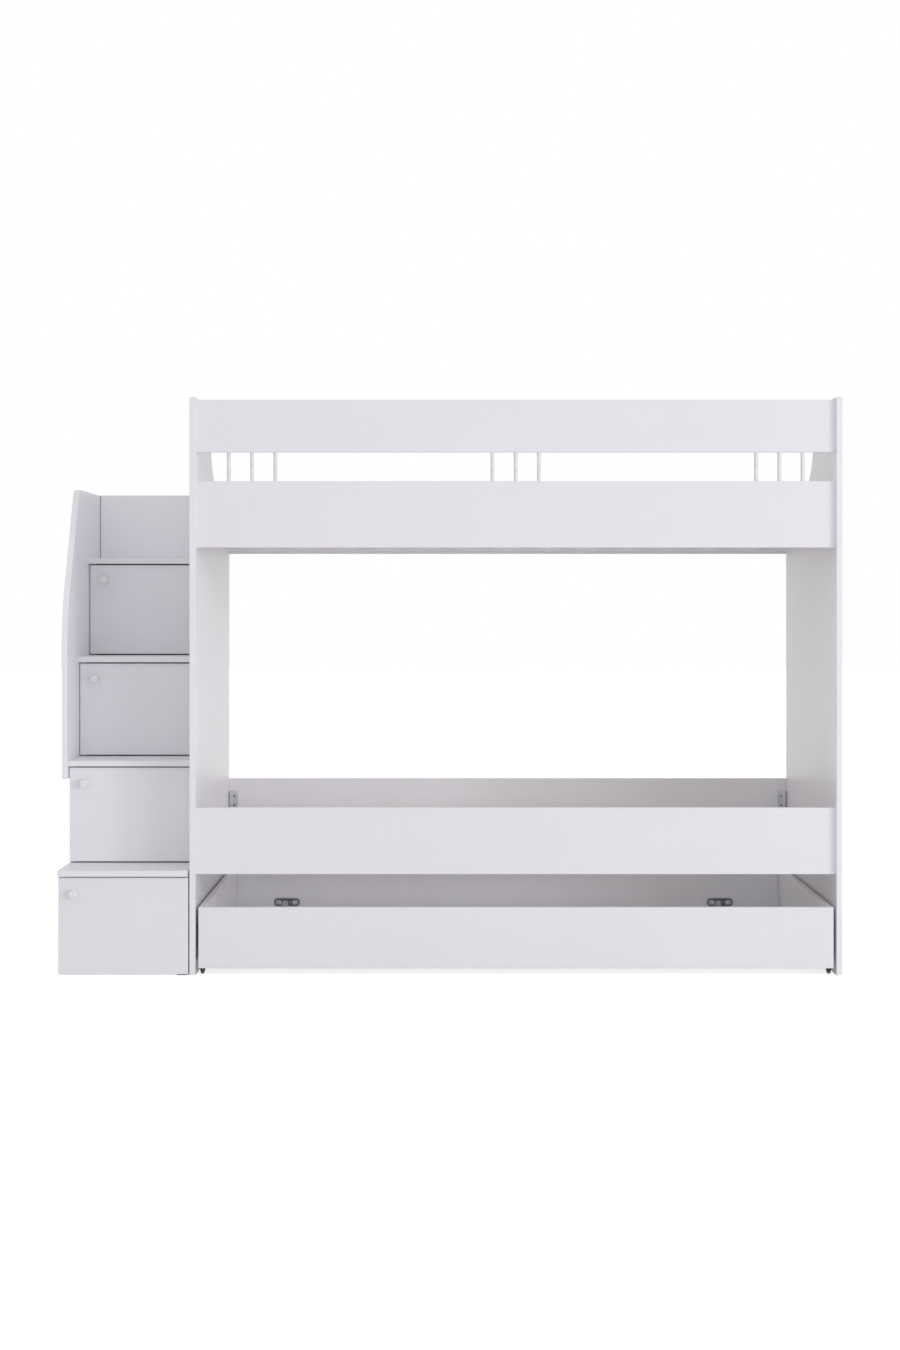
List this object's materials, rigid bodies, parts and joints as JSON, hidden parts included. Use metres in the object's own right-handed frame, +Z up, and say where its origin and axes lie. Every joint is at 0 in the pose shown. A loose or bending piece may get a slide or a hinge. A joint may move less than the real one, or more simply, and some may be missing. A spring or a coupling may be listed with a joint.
{
  "type": "bunk bed",
  "caption": "Bunk bed in white board, with a staircase of cupboards at one end, a guard rail on rods over the upper bunk and a trundle drawer on wheels.",
  "frame": {"origin": "on the floor, under the middle of the whole piece's box", "axes": "+X along the bed away from the stairs, +Y from the front to the wall, +Z up"},
  "size_m": [2.374, 1.025, 1.737],
  "materials": {
    "white_board": "satin laminate",
    "inner_board": "satin laminate",
    "rod_paint": "satin",
    "slat_wood": "planed",
    "zinc": "zinc plated",
    "dark_steel": "satin",
    "black_plastic": "matt",
    "knob_white": "gloss"
  },
  "bodies": {
    "frame": {"left_end_panel": "white_board", "right_end_panel": "white_board", "guard_rail": "white_board", "upper_front_rail": "white_board", "upper_rear_rail": "white_board", "lower_front_rail": "white_board", "lower_rear_rail": "white_board", "stair_back_panel": "white_board", "stair_side_guard": "white_board", "tread_1": "white_board", "tread_2": "white_board", "tread_3": "white_board", "tread_4": "white_board", "upper_ledgers": "inner_board", "lower_ledgers": "inner_board", "stair_floor_board": "inner_board", "left_side_1": "inner_board", "left_side_2": "inner_board", "left_side_3": "inner_board", "left_side_4": "inner_board", "right_side_1": "inner_board", "right_side_2": "inner_board", "right_side_3": "inner_board", "right_side_4": "inner_board", "guard_rods": "rod_paint", "upper_slats": "slat_wood", "lower_slats": "slat_wood", "corner_brackets": "zinc", "bracket_screws": "zinc", "frame_screws": "zinc", "stair_screws": "zinc", "hinge_screws": "zinc", "hinge_plates": "dark_steel"},
    "door_1": {"door_1": "white_board", "knob_1": "knob_white"},
    "door_2": {"door_2": "white_board", "knob_2": "knob_white"},
    "door_3": {"door_3": "white_board", "knob_3": "knob_white"},
    "door_4": {"door_4": "white_board", "knob_4": "knob_white"},
    "drawer": {"drawer_front": "white_board", "drawer_left_side": "white_board", "drawer_right_side": "white_board", "drawer_back": "white_board", "drawer_base": "inner_board", "drawer_battens": "slat_wood", "drawer_screws": "zinc", "base_fittings": "dark_steel", "fitting_screws": "zinc", "wheel_forks": "black_plastic", "fork_screws": "zinc", "wheel_axles": "zinc"},
    "wheel_front_left": {"wheel_front_left": "black_plastic"},
    "wheel_front_right": {"wheel_front_right": "black_plastic"},
    "wheel_rear_left": {"wheel_rear_left": "black_plastic"},
    "wheel_rear_right": {"wheel_rear_right": "black_plastic"}
  },
  "joints": [
    {"name": "door_1_hinge", "type": "hinge", "parent": "frame", "child": "door_1", "pos_m": [-0.785, -0.4795, 0.149], "axis": [0, 0, 1], "range_deg": [0, 90]},
    {"name": "door_2_hinge", "type": "hinge", "parent": "frame", "child": "door_2", "pos_m": [-0.785, -0.2895, 0.465], "axis": [0, 0, 1], "range_deg": [0, 90]},
    {"name": "door_3_hinge", "type": "hinge", "parent": "frame", "child": "door_3", "pos_m": [-0.785, -0.0995, 0.781], "axis": [0, 0, 1], "range_deg": [0, 85]},
    {"name": "door_4_hinge", "type": "hinge", "parent": "frame", "child": "door_4", "pos_m": [-0.785, 0.0905, 1.097], "axis": [0, 0, 1], "range_deg": [0, 85]},
    {"name": "drawer_slide", "type": "slide", "parent": "frame", "child": "drawer", "axis": [0, -1, 0], "range_m": [0, 0.9]},
    {"name": "wheel_front_left_spin", "type": "hinge", "parent": "drawer", "child": "wheel_front_left", "pos_m": [-0.737, -0.4515, 0.015], "axis": [1, 0, 0], "continuous": true},
    {"name": "wheel_front_right_spin", "type": "hinge", "parent": "drawer", "child": "wheel_front_right", "pos_m": [1.151, -0.4515, 0.015], "axis": [1, 0, 0], "continuous": true},
    {"name": "wheel_rear_left_spin", "type": "hinge", "parent": "drawer", "child": "wheel_rear_left", "pos_m": [-0.737, 0.4945, 0.015], "axis": [1, 0, 0], "continuous": true},
    {"name": "wheel_rear_right_spin", "type": "hinge", "parent": "drawer", "child": "wheel_rear_right", "pos_m": [1.151, 0.4945, 0.015], "axis": [1, 0, 0], "continuous": true}
  ]
}
